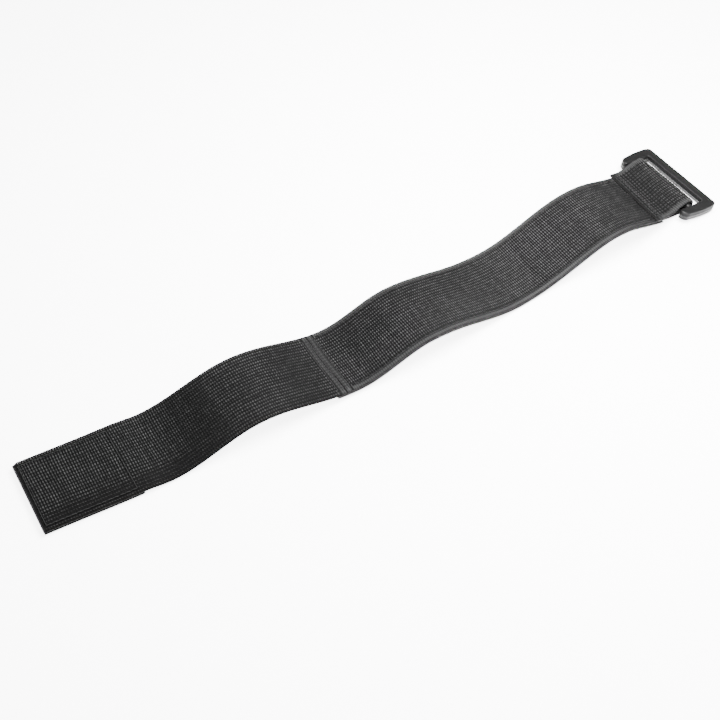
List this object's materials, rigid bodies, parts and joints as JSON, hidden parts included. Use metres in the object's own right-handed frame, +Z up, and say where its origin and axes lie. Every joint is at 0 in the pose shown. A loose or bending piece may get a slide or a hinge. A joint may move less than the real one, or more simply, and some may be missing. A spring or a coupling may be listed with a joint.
{
  "type": "wrist strap",
  "caption": "Black woven elastic wrist strap with hook-and-loop fastening, lying in waves, with a moulded loop buckle sewn into one end.",
  "frame": {"origin": "middle of the object's box at the surface it lies on", "axes": "+X from the free end to the buckle, +Y across the band to its far long edge, +Z up"},
  "size_m": [0.3742, 0.0564, 0.0169],
  "materials": {
    "woven_elastic": "matt woven elastic with raised ribs",
    "hook_tape": "nylon hook tape",
    "pile_tape": "brushed nylon loop pile",
    "buckle_plastic": "satin moulded plastic",
    "sewing_thread": "bonded nylon thread"
  },
  "bodies": {
    "strap": {"band_buckle_end": "woven_elastic", "pile_tape": "pile_tape", "middle_seam_stitch_1": "sewing_thread", "middle_seam_stitch_2": "sewing_thread", "middle_seam_stitch_3": "sewing_thread", "pile_edge_stitch_near": "sewing_thread", "pile_edge_stitch_far": "sewing_thread", "tab_seam_stitch_1": "sewing_thread", "tab_seam_stitch_2": "sewing_thread"},
    "middle": {"band_middle": "woven_elastic"},
    "tail": {"band_tail": "woven_elastic", "hook_patch": "hook_tape", "hook_patch_box_stitch": "sewing_thread"},
    "buckle": {"loop_buckle": "buckle_plastic"}
  },
  "joints": [
    {"name": "middle_flex", "type": "hinge", "parent": "strap", "child": "middle", "pos_m": [-0.05448, -0.00711, 0.00603], "axis": [0, 1, 0], "range_deg": [-90, 100]},
    {"name": "tail_flex", "type": "hinge", "parent": "middle", "child": "tail", "pos_m": [-0.13448, -0.00508, 0.00162], "axis": [0, 1, 0], "range_deg": [-90, 100]},
    {"name": "buckle_swing", "type": "hinge", "parent": "strap", "child": "buckle", "pos_m": [0.17282, 0.00125, 0.00385], "axis": [0, -1, 0], "range_deg": [-100, 120]}
  ]
}
